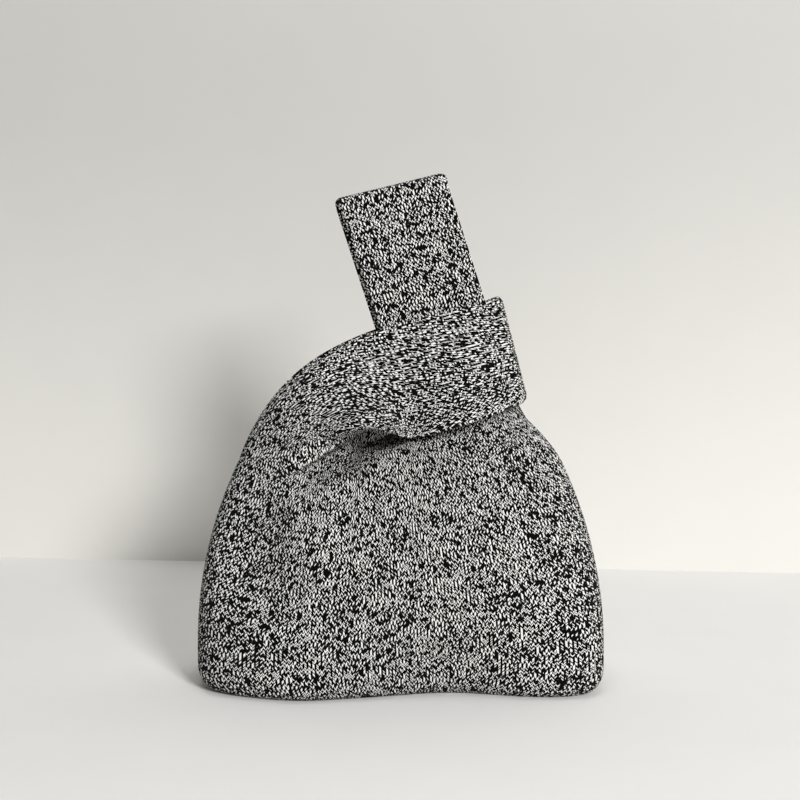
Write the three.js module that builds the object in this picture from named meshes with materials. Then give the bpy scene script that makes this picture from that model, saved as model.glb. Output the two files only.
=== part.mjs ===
// A knitted knot bag, closed: a standing pouch whose short left loop is drawn over its long right handle.
// Millimetres, +Z up, the front faces -Y. The origin is the middle of the base, on the surface it stands on.
import * as THREE from 'three';
import { mergeVertices } from 'three/addons/utils/BufferGeometryUtils.js';

// The knit and its seams
const KNIT_THICKNESS = 2.5;
const SEAM_GAP = 0.6; // between two knit edges that a linking seam joins
const LAYER_CLEARANCE = 0.6; // between two layers that lie on each other
const SEAM_RIDGE_RADIUS = 0.8; // the seam's ridge, on the inside of the bag
const SEAT_GAP = 0.3; // between a ridge and the knit that it lies on

// The pouch, outside measures
const BODY_WIDTH = 200;
const BODY_DEPTH = 84;
const BELLY_HEIGHT = 22; // where the pouch is widest
const FOOT_HEIGHT = 12; // the rounded foot, from the base up
const BASE_INSET = 8; // how far the foot turns in under the belly
const SHOULDER_HEIGHT = 110; // the top of the side seams
const SHOULDER_WIDTH = 160;
const SHOULDER_DEPTH = 52;
const MOUTH_RISE = 18.2; // how far the rim climbs from the side seams to its middle
const RIM_DRAW = 7; // how far the knit draws in from the shoulders to the middle of the rim
const SECTION_POWER = 2.4; // of the oval at the shoulders: 2 is an ellipse, more is squarer
const FOOT_POWER = 4; // of the oval at the base
const WIDTH_TAPER_POWER = 2.1;
const DEPTH_TAPER_POWER = 1.7;

// How the pouch slumps: a ridge below the left shoulder, a hollow left of it and an uneven foot
const RIDGE_SWELL = 4;
const RIDGE_X = -41;
const RIDGE_TOP_X = -50; // the ridge leans out to here at the shoulders
const RIDGE_WIDTH = 15;
const RIDGE_FOOT = 35; // the ridge grows from this height up
const RIDGE_GROWTH = 50;
const SIDE_HOLLOW = 7;
const SIDE_HOLLOW_X = -76;
const SIDE_HOLLOW_WIDTH = 18;
const SIDE_HOLLOW_FOOT = 30;
const SIDE_HOLLOW_TOP = 115;
const SIDE_HOLLOW_FADE = 30; // from each end to its full depth
const FOOT_DENT = 7;
const FOOT_DENT_X = 26;
const FOOT_DENT_WIDTH = 32;
const FOOT_SWELL = 5;
const FOOT_SWELL_X = -52;
const FOOT_SWELL_WIDTH = 26;
const FOOT_UNEVEN_HEIGHT = 50; // dent and swell are gone at this height

// The neckline, where the left shoulder folds over and leaves a hollow on its right
const NECK_X = -14;
const NECK_GAP = 12; // the free edge between the roots of the two arms
const CREASE_LENGTH = 50; // the fold runs down to the left from the neckline and fades out
const CREASE_SLOPE = THREE.MathUtils.degToRad(29);
const CREASE_WIDTH = 6;
const SHOULDER_BULGE = 5; // above the fold
const BULGE_REACH = 25;
const NECK_HOLLOW = 16; // below the fold
const HOLLOW_REACH = 14;
const HOLLOW_POWER = 4; // 2 fades like a bell, more ends in a lip
const HOLLOW_LENGTH = 50; // how far the hollow runs to the right

// The straps and the knot where they cross
const STRAP_WIDTH = 54.4;
const STRAP_LEAN = THREE.MathUtils.degToRad(18); // the long handle leans left by this much
const KNOT_X = 23.2;
const KNOT_RISE = 48.4; // from the shoulders up to the middle of the knot
const HANDLE_REACH = 90.5; // from the middle of the knot to the handle's top
const TOP_SKEW = 4.2; // how much higher up the strap the left end of the top is than the right one
const HANDLE_GAP = 6; // between the two layers of the long handle
const GATHER_CROWN = 10; // the bulge of the gathered knit at the loop's lower edge
const CROWN_END = 20; // the bulge is gone this far above the middle of the knot
const LOOP_LEFT_REACH = 20; // from the middle of the knot to where the loop leaves the handle
const LOOP_FLARE = 10; // how far the loop's lower edge stands off the handle
const LOOP_SKEW = 1.6; // how much further the loop's fold reaches in the middle than at its lower edge
const LOOP_TRAVEL = 15; // how far the loop slides up the handle
const BEND_LENGTH = 9.4; // the stretch of the handle that bends when it folds over
const GATHER_REACH = 8; // the left edge of the handle runs straight from this far above the knot

// How far each arm sweeps before it turns, as the length of its edge's tangent
const OUTER_SWEEP = 125;
const INNER_SWEEP = 40;
const OUTER_PULL = 110;
const INNER_PULL = 36;
const GATHER_PULL = 34;
const OUTER_LEAN = THREE.MathUtils.degToRad(19); // of the left arm's outer edge as it leaves the shoulder
const INNER_LEAN = 0.3; // the left arm's inner edge leaves the crease towards the front by this share
const ARM_BULGE = 11; // how far the left arm's inner edge stands off the pouch on its way
const ARM_GAPE = 7; // how far its outer edge opens from the back arm, which leaves the mouth

// Facets
const PANEL_COLUMNS = 30;
const CORNER_ROWS = 4;
const WALL_ROWS = 12;
const ARM_COLUMNS = 10;
const ARM_ROWS = 12;
const FOLD_ROWS = 5;
const RIDGE_SIDES = 8;
const RIDGE_STEPS = 12;

const half = KNIT_THICKNESS / 2;
const halfStrap = STRAP_WIDTH / 2;
const across = new THREE.Vector3(Math.cos(STRAP_LEAN), 0, Math.sin(STRAP_LEAN));
const along = new THREE.Vector3(-Math.sin(STRAP_LEAN), 0, Math.cos(STRAP_LEAN));
const knot = new THREE.Vector3(KNOT_X, 0, SHOULDER_HEIGHT + KNOT_RISE);
const handleDepth = HANDLE_GAP / 2 + half; // from the bag's middle plane to the middle of a handle layer
const layerStep = KNIT_THICKNESS * 1.2 + LAYER_CLEARANCE; // between the middles of two layers, on a slope too
const rootRoom = half + SEAM_GAP / 2; // for the turn between the rim and the left arm
const bendStart = halfStrap + LOOP_TRAVEL + LAYER_CLEARANCE;
const bendEnd = bendStart + BEND_LENGTH;
const shoulderWay = new THREE.Vector3(Math.sin(OUTER_LEAN), 0, Math.cos(OUTER_LEAN));
const creaseWay = new THREE.Vector3(Math.cos(CREASE_SLOPE), -INNER_LEAN, Math.sin(CREASE_SLOPE));

const marl = new THREE.Color('#7f7e7b');
const seamYarn = new THREE.Color('#4a4a49');

const smooth = (t) => THREE.MathUtils.smoothstep(t, 0, 1);
const mix = THREE.MathUtils.lerp;

// A closed solid of one thickness about a middle surface, given over u and v from 0 to 1.
// The outside is where the cross product of the u and v directions points.
function sheetSolid(surface, columns, rows, thickness) {
  const step = 1e-3;
  const positions = [];
  const layer = (columns + 1) * (rows + 1);
  for (const side of [1, -1]) {
    for (let j = 0; j <= rows; j++) {
      for (let i = 0; i <= columns; i++) {
        const [u, v] = [i / columns, j / rows];
        const du = surface(Math.min(u + step, 1), v).sub(surface(Math.max(u - step, 0), v));
        const dv = surface(u, Math.min(v + step, 1)).sub(surface(u, Math.max(v - step, 0)));
        const normal = du.cross(dv).normalize();
        const p = surface(u, v).addScaledVector(normal, (side * thickness) / 2);
        positions.push(p.x, Math.min(p.y, -SEAM_GAP / 2), p.z); // a front piece stays in front
      }
    }
  }
  const index = [];
  const quad = (a, b, c, d) => index.push(a, b, c, a, c, d);
  const at = (i, j) => j * (columns + 1) + i;
  for (let j = 0; j < rows; j++) {
    for (let i = 0; i < columns; i++) {
      const [a, b, c, d] = [at(i, j), at(i + 1, j), at(i + 1, j + 1), at(i, j + 1)];
      quad(a, b, c, d);
      quad(layer + d, layer + c, layer + b, layer + a);
    }
  }
  for (let i = 0; i < columns; i++) {
    quad(at(i + 1, 0), at(i, 0), layer + at(i, 0), layer + at(i + 1, 0));
    quad(at(i, rows), at(i + 1, rows), layer + at(i + 1, rows), layer + at(i, rows));
  }
  for (let j = 0; j < rows; j++) {
    quad(at(0, j), at(0, j + 1), layer + at(0, j + 1), layer + at(0, j));
    quad(at(columns, j + 1), at(columns, j), layer + at(columns, j), layer + at(columns, j + 1));
  }
  const geometry = new THREE.BufferGeometry();
  geometry.setAttribute('position', new THREE.Float32BufferAttribute(positions, 3));
  geometry.setIndex(index);
  return geometry;
}

// The same piece on the back of the bag.
function mirrored(geometry) {
  const copy = geometry.clone().scale(1, -1, 1);
  const index = copy.getIndex().array;
  for (let i = 0; i < index.length; i += 3) [index[i], index[i + 1]] = [index[i + 1], index[i]];
  return copy;
}

// A ridge of linking stitches along an open path.
function ridge(points) {
  const section = new THREE.Shape();
  section.absarc(0, 0, SEAM_RIDGE_RADIUS, 0, 2 * Math.PI);
  const geometry = new THREE.ExtrudeGeometry(section, {
    curveSegments: RIDGE_SIDES / 2,
    steps: Math.max(1, (points.length - 1) * 2),
    extrudePath: new THREE.CatmullRomCurve3(points),
  });
  return plain(geometry);
}

// Positions alone, with shared corners merged, so that the body is closed.
function plain(geometry) {
  geometry.deleteAttribute('normal');
  geometry.deleteAttribute('uv');
  return mergeVertices(geometry, 1e-4);
}

// Half width and half depth of the pouch's middle surface at a height above the belly
function wallSize(z) {
  const climb = Math.max(0, (z - BELLY_HEIGHT) / (SHOULDER_HEIGHT - BELLY_HEIGHT));
  const width = mix(BODY_WIDTH, SHOULDER_WIDTH, climb ** WIDTH_TAPER_POWER);
  const depth = mix(BODY_DEPTH, SHOULDER_DEPTH, climb ** DEPTH_TAPER_POWER);
  const drawn = RIM_DRAW * smooth((z - SHOULDER_HEIGHT) / MOUTH_RISE);
  return [width / 2 - half, depth / 2 - half - drawn];
}

// A point of an oval section's front half: u from the left side seam to the right one
function sectionPoint(u, a, b, z) {
  const c = -Math.cos(Math.PI * u);
  const share = Math.abs(c) ** (2 / SECTION_POWER);
  const power = mix(FOOT_POWER, SECTION_POWER, smooth(z / SHOULDER_HEIGHT));
  const edge = SEAM_GAP / 2;
  const x = a * Math.sign(c) * share;
  const y = -edge - (b - edge) * Math.max(0, 1 - share ** power) ** (1 / power);
  return new THREE.Vector3(x, y + slump(x, z) * Math.sin(Math.PI * u), z);
}

const bell = (offset, width) => Math.exp(-((offset / width) ** 2));

// How far the slumped knit falls in, or stands out where it is below zero
function slump(x, z) {
  const crest = mix(RIDGE_X, RIDGE_TOP_X, smooth((z - RIDGE_FOOT) / (SHOULDER_HEIGHT - RIDGE_FOOT)));
  const ridge = RIDGE_SWELL * bell(x - crest, RIDGE_WIDTH) * smooth((z - RIDGE_FOOT) / RIDGE_GROWTH);
  const rising = smooth((z - SIDE_HOLLOW_FOOT) / SIDE_HOLLOW_FADE);
  const ending = smooth((SIDE_HOLLOW_TOP - z) / SIDE_HOLLOW_FADE);
  const side = SIDE_HOLLOW * bell(x - SIDE_HOLLOW_X, SIDE_HOLLOW_WIDTH) * rising * ending;
  const dent = FOOT_DENT * bell(x - FOOT_DENT_X, FOOT_DENT_WIDTH);
  const swell = FOOT_SWELL * bell(x - FOOT_SWELL_X, FOOT_SWELL_WIDTH);
  return side - ridge + (dent - swell) * smooth(1 - z / FOOT_UNEVEN_HEIGHT);
}

// Where on the rim, from 0 to 1, the pouch has the given x
function rimShare(x) {
  const [a] = wallSize(SHOULDER_HEIGHT + MOUTH_RISE);
  const c = Math.sign(x) * Math.abs(x / a) ** (SECTION_POWER / 2);
  return Math.acos(-c) / Math.PI;
}

// The fold at the neckline: the left shoulder bulges out and the knit below the crease falls in.
function tuck(x, z) {
  const [dx, dz] = [x - NECK_X + NECK_GAP / 2, z - SHOULDER_HEIGHT - MOUTH_RISE];
  const leftwards = -dx * Math.cos(CREASE_SLOPE) - dz * Math.sin(CREASE_SLOPE);
  const below = dx * Math.sin(CREASE_SLOPE) - dz * Math.cos(CREASE_SLOPE);
  const fade = 1 - smooth(leftwards > 0 ? leftwards / CREASE_LENGTH : -leftwards / HOLLOW_LENGTH);
  const reach = Math.exp(-((below / HOLLOW_REACH) ** HOLLOW_POWER));
  const hollow = NECK_HOLLOW * smooth(below / CREASE_WIDTH) * reach;
  const bulge = SHOULDER_BULGE * smooth(-below / CREASE_WIDTH) * bell(below, BULGE_REACH);
  return fade * (hollow - bulge);
}

// The front panel's middle surface: v from the base seam, round the foot and up to the rim
function panelSurface(u, v) {
  const corner = CORNER_ROWS / (CORNER_ROWS + WALL_ROWS);
  if (v < corner) {
    const turn = (v / corner) * (Math.PI / 2);
    const [a, b] = wallSize(BELLY_HEIGHT);
    const inset = BASE_INSET * (1 - Math.sin(turn));
    return sectionPoint(u, a - inset, b - inset, half + (FOOT_HEIGHT - half) * (1 - Math.cos(turn)));
  }
  const rim = SHOULDER_HEIGHT + MOUTH_RISE * Math.sin(Math.PI * u) ** 2;
  const z = mix(FOOT_HEIGHT, rim, (v - corner) / (1 - corner));
  const p = sectionPoint(u, ...wallSize(z), z);
  const folded = p.y + tuck(p.x, z) * Math.sin(Math.PI * u);
  return p.setY(Math.min(folded, Math.max(p.y, -SEAM_GAP / 2 - half))); // at most onto the back layer
}

// The rim and the way that the knit heads there
function rimPoint(u) {
  const step = 0.02;
  const point = panelSurface(u, 1);
  const heading = panelSurface(u, 1).sub(panelSurface(u, 1 - step)).normalize();
  return { point: point.addScaledVector(heading, SEAM_GAP), heading };
}

// Strap coordinates: s across the handle and r along it, from the middle of the knot
function strapPoint(s, y, r) {
  return knot.clone().addScaledVector(across, s).addScaledVector(along, r).setY(y);
}

function strapPlace(p) {
  const offset = p.clone().sub(knot);
  return [offset.dot(across), offset.dot(along)];
}

// Distance from the bag's middle plane to the middle of a handle layer, which bulges below the knot
function handleLayer(s, r) {
  const crown = GATHER_CROWN * (1 - smooth((r + halfStrap) / (halfStrap + CROWN_END)));
  return handleDepth + crown * Math.max(0, 1 - (s / halfStrap) ** 2);
}

// The same for the loop, whose lower edge stands off the handle
function loopLayer(s, r) {
  const low = (halfStrap - r) / STRAP_WIDTH;
  return handleLayer(s, r) + layerStep + LOOP_FLARE * low ** 2;
}

// A cubic from a start and heading to an end and heading
function sweep(start, startHeading, end, endHeading, v) {
  const [v2, v3] = [v * v, v * v * v];
  return new THREE.Vector3()
    .addScaledVector(start, 2 * v3 - 3 * v2 + 1)
    .addScaledVector(startHeading, v3 - 2 * v2 + v)
    .addScaledVector(end, 3 * v2 - 2 * v3)
    .addScaledVector(endHeading, v3 - v2);
}

// The left arm's front layer, from the left shoulder to where the loop meets the handle
function leftArmSurface(u, v) {
  const { point, heading } = rimPoint(u * rimShare(NECK_X - NECK_GAP / 2));
  const r = mix(halfStrap, -halfStrap, u);
  const [loopStart, loopNext] = [0, 1].map((s) => {
    return strapPoint(s - LOOP_LEFT_REACH, -loopLayer(s - LOOP_LEFT_REACH, r), r);
  });
  const loopHeading = loopNext.sub(loopStart).normalize();
  const end = loopStart.addScaledVector(loopHeading, -SEAM_GAP);
  const startPull = heading.clone().lerp(shoulderWay, (1 - u) ** 2).lerp(creaseWay, smooth(u));
  const start = point.addScaledVector(heading, rootRoom * Math.sin(heading.angleTo(startPull)));
  startPull.setLength(mix(OUTER_SWEEP, INNER_SWEEP, u));
  const endPull = loopHeading.multiplyScalar(mix(OUTER_PULL, INNER_PULL, u));
  const p = sweep(start, startPull, end, endPull, v);
  p.y -= mix(ARM_GAPE, ARM_BULGE, u) * Math.sin(Math.PI * v) ** 2;
  return p;
}

// The short loop's front layer, over the handle and half way round its right edge
function foldLength(r) {
  const ridgeRoom = LAYER_CLEARANCE + 2 * (SEAT_GAP + SEAM_RIDGE_RADIUS);
  return ridgeRoom + half + LOOP_SKEW * (1 + r / halfStrap);
}

function shortLoopSurface(u, v) {
  const fold = FOLD_ROWS / (ARM_ROWS + FOLD_ROWS);
  const r = mix(halfStrap, -halfStrap, u);
  if (v < 1 - fold) {
    const s = mix(-LOOP_LEFT_REACH, halfStrap, v / (1 - fold));
    return strapPoint(s, -loopLayer(s, r), r);
  }
  const turn = ((v - 1 + fold) / fold) * (Math.PI / 2);
  const depth = loopLayer(halfStrap, r) - SEAM_GAP / 2;
  return strapPoint(halfStrap + foldLength(r) * Math.sin(turn), -SEAM_GAP / 2 - depth * Math.cos(turn), r);
}

// The right arm's front layer: the pouch gathers into the strap, which runs up through the loop.
function rightArmSurface(u, v) {
  const gather = 0.5;
  const s = mix(-halfStrap, halfStrap, u);
  const gathered = mix(GATHER_REACH, -halfStrap - LAYER_CLEARANCE, u);
  if (v < gather) {
    const { point, heading } = rimPoint(mix(rimShare(NECK_X + NECK_GAP / 2), 1, u));
    const end = strapPoint(s, -handleLayer(s, gathered), gathered);
    const endPull = along.clone().multiplyScalar(GATHER_PULL);
    const p = sweep(point, heading.multiplyScalar(GATHER_PULL), end, endPull, v / gather);
    return p.setY(mix(p.y, -handleLayer(...strapPlace(p)), smooth(v / gather)));
  }
  const r = mix(gathered, bendStart - SEAM_GAP / 2, (v - gather) / (1 - gather));
  return strapPoint(s, -handleLayer(s, r), r);
}

// A straight stretch of the handle's front layer
function handleStretch(from, to) {
  return (u, v) => strapPoint(mix(-halfStrap, halfStrap, u), -handleDepth, mix(from, to, v));
}

// The handle's top at a place across it
function handleTop(s) {
  return HANDLE_REACH - (TOP_SKEW * s) / STRAP_WIDTH;
}

// The free end of the handle's front layer, up to the middle of its top fold
function longHandleSurface(u, v) {
  const fold = FOLD_ROWS / (ARM_ROWS + FOLD_ROWS);
  const s = mix(-halfStrap, halfStrap, u);
  const top = handleTop(s) - half - handleDepth;
  if (v < 1 - fold) return strapPoint(s, -handleDepth, mix(bendEnd + SEAM_GAP / 2, top, v / (1 - fold)));
  const turn = ((v - 1 + fold) / fold) * (Math.PI / 2);
  const depth = handleDepth - SEAM_GAP / 2;
  return strapPoint(s, -SEAM_GAP / 2 - depth * Math.cos(turn), top + handleDepth * Math.sin(turn));
}

// The panels' lower edges drawn in by a margin: the front one from left to right, then the back one
function baseOutline(margin) {
  const [a, b] = wallSize(BELLY_HEIGHT);
  const inset = BASE_INSET + margin;
  const front = [];
  for (let i = 0; i <= PANEL_COLUMNS; i++) {
    front.push(sectionPoint(i / PANEL_COLUMNS, a - inset, b - inset, half));
  }
  const back = front.map((p) => new THREE.Vector3(p.x, -p.y, p.z)).reverse();
  return [...front, ...back];
}

// The flat base, inside the foot of the two panels
function basePanel() {
  const shape = new THREE.Shape(baseOutline(SEAM_GAP).map((p) => new THREE.Vector2(p.x, p.y)));
  return plain(new THREE.ExtrudeGeometry(shape, { depth: KNIT_THICKNESS, bevelEnabled: false }));
}

// The ridge of the base seam, on the joint between the base and the panels
function baseSeam() {
  const z = KNIT_THICKNESS + SEAT_GAP + SEAM_RIDGE_RADIUS;
  const path = new THREE.CatmullRomCurve3(baseOutline(SEAM_GAP / 2).map((p) => p.setZ(z)), true);
  return plain(new THREE.TubeGeometry(path, 2 * PANEL_COLUMNS, SEAM_RIDGE_RADIUS, RIDGE_SIDES, true));
}

// The ridge of a side seam, up the inside of the pouch from above the base seam to the shoulder
function sideSeam(u) {
  const inward = half + SEAT_GAP + SEAM_RIDGE_RADIUS;
  const start = (CORNER_ROWS * 0.7) / (CORNER_ROWS + WALL_ROWS);
  const step = 0.01;
  const points = [];
  for (let i = 0; i <= RIDGE_STEPS; i++) {
    const v = mix(start, 1, i / RIDGE_STEPS);
    const p = panelSurface(u, v);
    const heading = panelSurface(u, Math.min(v + step, 1)).sub(panelSurface(u, v - step));
    const inwards = new THREE.Vector3(-heading.z, 0, heading.x).normalize();
    if (inwards.x * p.x > 0) inwards.negate();
    points.push(p.setY(0).addScaledVector(inwards, inward));
  }
  return ridge(points);
}

// The ridge inside a strap's end, across the strap
const seamPlaces = [-halfStrap, 0, halfStrap];
function loopSeam() {
  const inward = half + SEAT_GAP + SEAM_RIDGE_RADIUS;
  return ridge(seamPlaces.map((r) => strapPoint(halfStrap + foldLength(r) - inward, 0, r)));
}

function handleSeam() {
  const inward = KNIT_THICKNESS + SEAT_GAP + SEAM_RIDGE_RADIUS;
  return ridge(seamPlaces.map((s) => strapPoint(s, 0, handleTop(s) - inward)));
}

const bag = new THREE.Group();

function add(name, geometry, color) {
  const material = new THREE.MeshStandardMaterial({ color, roughness: 0.95, metalness: 0 });
  const mesh = new THREE.Mesh(geometry, material);
  mesh.name = name;
  bag.add(mesh);
}

// Each layer of knit has a front piece and its mirror image on the back.
function addPair(frontName, backName, geometry) {
  add(frontName, geometry, marl);
  add(backName, mirrored(geometry), marl);
}

const sheet = (surface, columns, rows) => sheetSolid(surface, columns, rows, KNIT_THICKNESS);
const bend = handleStretch(bendStart, bendEnd);

addPair('front_panel', 'back_panel', sheet(panelSurface, PANEL_COLUMNS, CORNER_ROWS + WALL_ROWS));
add('base_panel', basePanel(), marl);
add('base_seam', baseSeam(), seamYarn);
add('left_side_seam', sideSeam(0), seamYarn);
add('right_side_seam', sideSeam(1), seamYarn);
addPair('left_arm_front', 'left_arm_back', sheet(leftArmSurface, ARM_COLUMNS, ARM_ROWS));
addPair('short_loop_front', 'short_loop_back', sheet(shortLoopSurface, ARM_COLUMNS, ARM_ROWS + FOLD_ROWS));
add('short_loop_seam', loopSeam(), seamYarn);
addPair('right_arm_front', 'right_arm_back', sheet(rightArmSurface, 2 * ARM_COLUMNS, 2 * ARM_ROWS));
addPair('handle_bend_front', 'handle_bend_back', sheet(bend, ARM_COLUMNS, 2));
addPair('long_handle_front', 'long_handle_back', sheet(longHandleSurface, ARM_COLUMNS, ARM_ROWS + FOLD_ROWS));
add('long_handle_seam', handleSeam(), seamYarn);

export default bag;
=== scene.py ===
"""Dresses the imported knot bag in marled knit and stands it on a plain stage."""
import math

import bpy
import numpy as np
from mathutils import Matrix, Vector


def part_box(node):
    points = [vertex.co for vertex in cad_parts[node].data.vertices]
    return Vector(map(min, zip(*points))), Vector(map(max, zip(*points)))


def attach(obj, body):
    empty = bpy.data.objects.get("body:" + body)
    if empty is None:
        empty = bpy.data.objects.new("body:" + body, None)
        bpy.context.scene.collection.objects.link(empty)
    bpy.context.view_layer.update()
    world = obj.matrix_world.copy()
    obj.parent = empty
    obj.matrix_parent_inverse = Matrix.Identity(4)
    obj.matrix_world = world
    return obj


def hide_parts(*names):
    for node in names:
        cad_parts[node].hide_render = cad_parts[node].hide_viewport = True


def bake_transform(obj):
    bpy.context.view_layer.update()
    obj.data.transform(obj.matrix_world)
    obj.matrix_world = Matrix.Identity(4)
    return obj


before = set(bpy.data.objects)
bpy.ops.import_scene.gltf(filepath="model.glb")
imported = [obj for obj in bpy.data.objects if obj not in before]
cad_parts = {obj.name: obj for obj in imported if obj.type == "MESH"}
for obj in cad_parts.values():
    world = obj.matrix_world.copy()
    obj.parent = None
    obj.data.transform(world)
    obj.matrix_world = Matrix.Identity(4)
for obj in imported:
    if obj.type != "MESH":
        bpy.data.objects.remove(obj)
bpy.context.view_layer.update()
bpy.ops.object.select_all(action="DESELECT")

bl_info = {
    "name": "Knitted knot bag",
    "version": (1, 0, 0),
    "blender": (4, 5, 0),
    "location": "View3D > Sidebar > Knot bag",
    "description": "Makes the knit of a closed knot bag, stitch by stitch, and its stage",
    "category": "Object",
}


def linear(colour):
    """An sRGB hex colour as the linear red, green and blue that Blender mixes."""
    parts = [int(colour[i : i + 2], 16) / 255 for i in (1, 3, 5)]
    return tuple(c / 12.92 if c <= 0.04045 else ((c + 0.055) / 1.055) ** 2.4 for c in parts)


def add_node(tree, kind, values=None, **settings):
    """Adds one shader node, applies its settings, and fills or links its inputs."""
    node = tree.nodes.new(kind)
    for name, value in settings.items():
        setattr(node, name, value)
    for name, value in (values or {}).items():
        if isinstance(value, bpy.types.NodeSocket):
            tree.links.new(value, node.inputs[name])
        else:
            node.inputs[name].default_value = value
    return node


def empty_tree(owner):
    """The shader tree of a material or a world, with no nodes in it."""
    owner.use_nodes = True
    owner.node_tree.nodes.clear()
    return owner.node_tree


def length(name, description, default):
    """A size in metres for a property group."""
    return bpy.props.FloatProperty(name=name, description=description, default=default, unit="LENGTH")


def angle(name, description, degrees):
    """An angle for a property group."""
    return bpy.props.FloatProperty(
        name=name, description=description, default=math.radians(degrees), subtype="ANGLE"
    )


def tint(name, description, colour):
    """A colour for a property group."""
    return bpy.props.FloatVectorProperty(
        name=name, description=description, default=linear(colour), subtype="COLOR"
    )


def box_size(node, axis):
    """A solid's size along one axis."""
    low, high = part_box(node)
    return high[axis] - low[axis]


class KnotBagShape(bpy.types.PropertyGroup):
    """The bag's sizes: those of the solids, but for a deeper fold and a slightly longer handle."""

    body_width: length("Body width", "Widest part of the pouch", box_size("front_panel", 0))
    body_depth: length("Body depth", "Front to back at the belly", 0.084)
    belly_height: length("Belly height", "Where the pouch is widest", 0.022)
    foot_height: length("Foot height", "Height of the rounded foot", 0.012)
    base_inset: length("Base inset", "How far the foot turns in under the belly", 0.008)
    shoulder_height: length("Shoulder height", "Top of the side seams", 0.110)
    shoulder_width: length("Shoulder width", "Width at the top of the side seams", 0.160)
    shoulder_depth: length("Shoulder depth", "Depth at the top of the side seams", 0.052)
    mouth_rise: length("Mouth rise", "How far the rim climbs to its middle", 0.0182)
    rim_draw: length("Rim draw", "How far the knit draws in from the shoulders to the rim", 0.007)
    neck_x: length("Neckline place", "Middle of the neckline, from the bag's middle", -0.014)
    neck_gap: length("Neckline gap", "Edge between the solids' arms, which the right arm covers", 0.012)
    crease_length: length("Crease length", "Fold that runs down to the left from the neckline", 0.050)
    crease_slope: angle("Crease slope", "Fall of the fold to the left", 29)
    crease_width: length("Crease width", "Width of the step at the fold", 0.0045)
    shoulder_bulge: length("Shoulder bulge", "How far the knit above the fold stands out", 0.010)
    neck_hollow: length("Neckline hollow", "How far the knit below the fold falls in", 0.019)
    strap_width: length("Strap width", "Width of the loop and the handle", 0.0544)
    strap_lean: angle("Strap lean", "Lean of the long handle to the left", 18)
    knot_x: length("Knot place", "Middle of the knot, from the bag's middle", 0.0232)
    knot_rise: length("Knot rise", "From the shoulders to the middle of the knot", 0.0484)
    handle_reach: length("Handle reach", "From the middle of the knot to the handle's top", 0.0921)
    handle_skew: length("Handle skew", "How much higher the left end of the top fold is", 0.0042)
    handle_slip: length("Handle slip", "How far the handle's back layer shows on the left", 0.0025)
    handle_gap: length("Handle gap", "Between the two layers of the handle", 0.006)
    gather_crown: length("Gather crown", "Bulge of the gathered knit below the knot", 0.010)
    loop_left: length("Loop left", "From the middle of the knot to where the loop begins", 0.020)
    loop_flare: length("Loop flare", "How far the loop's lower edge stands off", 0.010)
    loop_fold: length("Loop fold", "Reach of the loop's fold past the handle's edge", 0.0057)
    loop_skew: length(
        "Loop skew", "How much further the fold reaches at the top than in the middle", 0.0016
    )
    loop_taper: length("Loop taper", "How much narrower the loop is at its fold", 0.0022)
    loop_travel: length("Loop travel", "How far the loop slides up the handle", 0.015)
    bend_length: length("Bend length", "Stretch of the handle that bends", 0.0094)


class KnotBagKnit(bpy.types.PropertyGroup):
    """The knit's gauge and yarn."""

    thickness: length("Thickness", "Knit from its face to its back", 0.0025)
    relief: length("Relief", "Height of a stitch's leg above the ground", 0.00022)
    wales: bpy.props.IntProperty(
        name="Wales", description="Columns of stitches across one panel", default=126
    )
    wale_pitch: length("Wale pitch", "Width of a stitch", 0.00172)
    course_pitch: length("Course pitch", "Height of a stitch", 0.00136)
    dark_yarn: tint("Dark yarn", "Black strand of the marl", "#060606")
    pale_yarn: tint("Pale yarn", "Off-white strand of the marl", "#f5f4f1")


class KnotBagStage(bpy.types.PropertyGroup):
    """The stage and its light."""

    floor_colour: tint("Floor", "Colour of the floor", "#f8f7f5")
    wall_colour: tint("Wall", "Colour of the wall", "#dfddd8")
    wall_distance: length("Wall distance", "From the bag's middle to the wall", 0.272)


# Points of a knitted sheet
WALE_POINTS = 4  # across one wale
COURSE_ROWS = 2  # up one course
HEM_ROWS = 6  # over which stitches flatten out to a hem
LEG_CLIMB = 1.3  # courses, across one wale
EDGE_SHARE = 0.08  # of the thickness, left at a rounded edge
NARROWING = 0.6  # share of a sheet's courses over which wales end
BACK_WALES = 3  # in one facet of the smooth back
BACK_ROWS = 10
BACK_SHIFT = 200.0  # stitches between the two sides' maps
FLOOR_ROOM = 0.00005
FACE_MAP = (0.99, 0.86)  # shares of the whole sheet's map
BACK_MAP = (0.99, 0.11)
BACK_MAP_PLACE = (0.005, 0.88)
MAP_MARGIN = 0.005

# Points along knit before its stitches are spaced out
RIM_POINTS = 721
LONG_POINTS = 161
MIDDLE_POINTS = 121
SHORT_POINTS = 41
FINE_ROWS = 6  # for one course of a panel

# The pouch. A power of 2 is an ellipse, and more is squarer
SECTION_POWER = 2.4
FOOT_POWER = 4.0
SQUARE_FOOT_POWER = 6.0  # at the foot's right end
SQUARE_FOOT_SHARE = 0.15  # of the inset, which the right end does without
WIDTH_POWER = 2.1  # how late the pouch narrows
DEPTH_POWER = 1.7  # how late it flattens
WALE_CROWD = 0.18  # how much closer the wales stand in a panel's middle
MIDDLE_ROOM = 0.0003  # from a panel's inside to the bag's middle
BASE_LENGTH = 0.98  # shares of the panels' lower edge
BASE_WIDTH = 0.985

# The fold at the neckline
HOLLOW_REACH = 0.0145
HOLLOW_POWER = 6  # more than a bell's 2, for a lip
HOLLOW_LENGTH = 0.050
BULGE_REACH = 0.025
CREASE_DEPTH = 0.0045
CREASE_STEP = 0.003
CREASE_REACH = 0.016

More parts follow.
